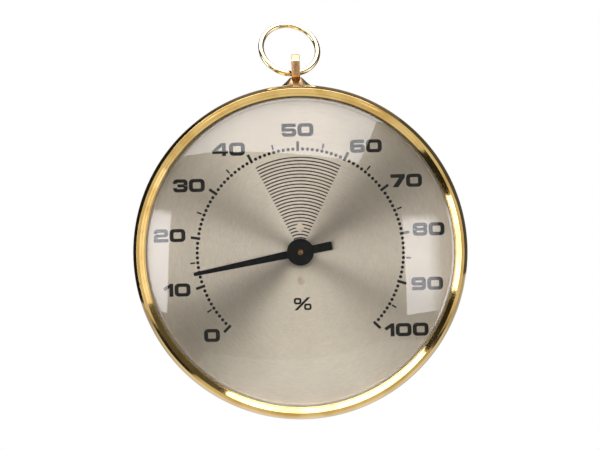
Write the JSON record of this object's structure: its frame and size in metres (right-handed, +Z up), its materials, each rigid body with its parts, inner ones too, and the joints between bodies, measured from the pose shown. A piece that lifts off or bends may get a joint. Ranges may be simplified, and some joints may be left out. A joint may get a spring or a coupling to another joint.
{
  "type": "hair hygrometer",
  "caption": "Round brass-cased hair hygrometer with a 0 to 100 dial, a domed glass, a hair and sector movement, and a hanging ring.",
  "frame": {"origin": "middle of the flat back of the case", "axes": "+Z up through the pendant, +X to the right of the dial, -Y towards the reader, +Y out of the back"},
  "size_m": [0.1, 0.028, 0.1199],
  "materials": {
    "polished_brass": "polished and lacquered",
    "ring_brass": "polished drawn wire",
    "glass": "clear, domed",
    "dial": "turned, champagne",
    "spacer": "turned, plain",
    "pointer_black": "matt black lacquer",
    "movement_brass": "stamped and turned, plain",
    "steel": "turned, plain",
    "nut_brass": "turned, plain",
    "hair": "straight fibres"
  },
  "bodies": {
    "root": {"case_shell": "polished_brass", "bezel": "polished_brass", "glass": "glass", "spacer_ring": "spacer", "dial": "dial", "dial_posts": "movement_brass", "case_pillars": "movement_brass", "case_screws": "steel", "front_plate": "movement_brass", "back_plate": "movement_brass", "plate_pillars": "movement_brass", "plate_screws": "steel", "hairspring": "steel", "spring_stud": "movement_brass", "hair_bundle": "hair", "adjuster_washer": "steel", "pendant": "polished_brass", "pendant_washer": "nut_brass", "pendant_nut": "nut_brass"},
    "ring": {"hanging_ring": "ring_brass"},
    "sector": {"sector": "movement_brass", "sector_arbor": "steel"},
    "pointer": {"pointer_arbor": "steel", "pinion": "movement_brass", "pointer_bush": "movement_brass", "pointer": "pointer_black", "pointer_hub": "pointer_black", "spring_collet": "movement_brass"},
    "lower_clip": {"lower_clip": "movement_brass"},
    "adjuster": {"adjuster": "steel"},
    "upper_clip": {"upper_clip": "movement_brass"}
  },
  "joints": [
    {"name": "ring_swing", "type": "hinge", "parent": "root", "child": "ring", "pos_m": [0, -0.00995, 0.054], "axis": [1, 0, 0], "range_deg": [-65, 120]},
    {"name": "sector_turn", "type": "hinge", "parent": "root", "child": "sector", "pos_m": [-0.01906, -0.015, -0.01906], "axis": [0, -1, 0], "range_deg": [-3.46, 23.54], "deforming": ["hair_bundle"]},
    {"name": "lower_clip_turn", "type": "hinge", "parent": "sector", "child": "lower_clip", "pos_m": [-0.0226, -0.015, -0.01843], "axis": [0, -1, 0], "range_deg": [-23.54, 3.46]},
    {"name": "pointer_turn", "type": "hinge", "parent": "root", "child": "pointer", "pos_m": [0, -0.015, 0], "axis": [0, -1, 0], "range_deg": [-235.44, 34.56]},
    {"name": "adjuster_turn", "type": "hinge", "parent": "root", "child": "adjuster", "pos_m": [-0.0186, -0.009, 0.03405], "axis": [0, -1, 0], "range_deg": [-20, 20], "deforming": ["hair_bundle"]},
    {"name": "upper_clip_turn", "type": "hinge", "parent": "adjuster", "child": "upper_clip", "pos_m": [-0.0226, -0.015, 0.03405], "axis": [0, -1, 0], "range_deg": [-20, 20]}
  ],
  "couplings": [
    {"joint": "pointer_turn", "follows": "sector_turn", "ratio": -10},
    {"joint": "lower_clip_turn", "follows": "sector_turn", "ratio": -1},
    {"joint": "upper_clip_turn", "follows": "adjuster_turn", "ratio": -1}
  ]
}
